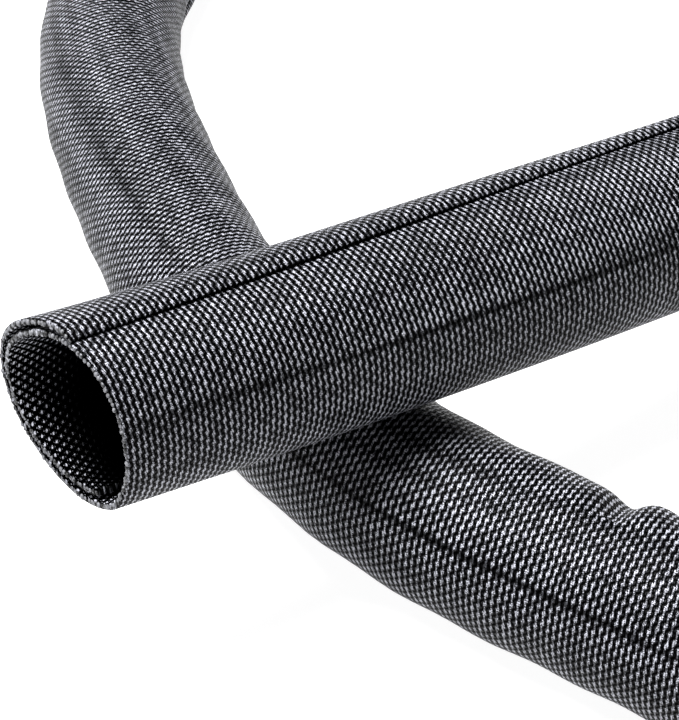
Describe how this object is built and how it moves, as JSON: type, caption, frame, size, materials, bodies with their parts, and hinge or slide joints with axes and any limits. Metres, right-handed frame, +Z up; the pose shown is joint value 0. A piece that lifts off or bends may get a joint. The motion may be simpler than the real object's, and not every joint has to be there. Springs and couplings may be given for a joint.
{
  "type": "braided cable sleeve",
  "caption": "Dark woven wrap-around cable sleeve, split lengthwise and rolled closed on itself, lying in one open loop that crosses over itself",
  "frame": {"origin": "centre of the footprint of the lying sleeve, on the floor", "axes": "+Z up; +X runs into the sleeve at its open mouth, so the mouth faces -X; the far cut end faces -Y"},
  "size_m": [0.3536, 0.3342, 0.0528],
  "materials": {
    "woven_polyester": "charcoal woven polyester monofilament, satin on the yarns and dark in the gaps"
  },
  "bodies": {
    "root": {"woven_sleeve": "woven_polyester"}
  },
  "joints": []
}
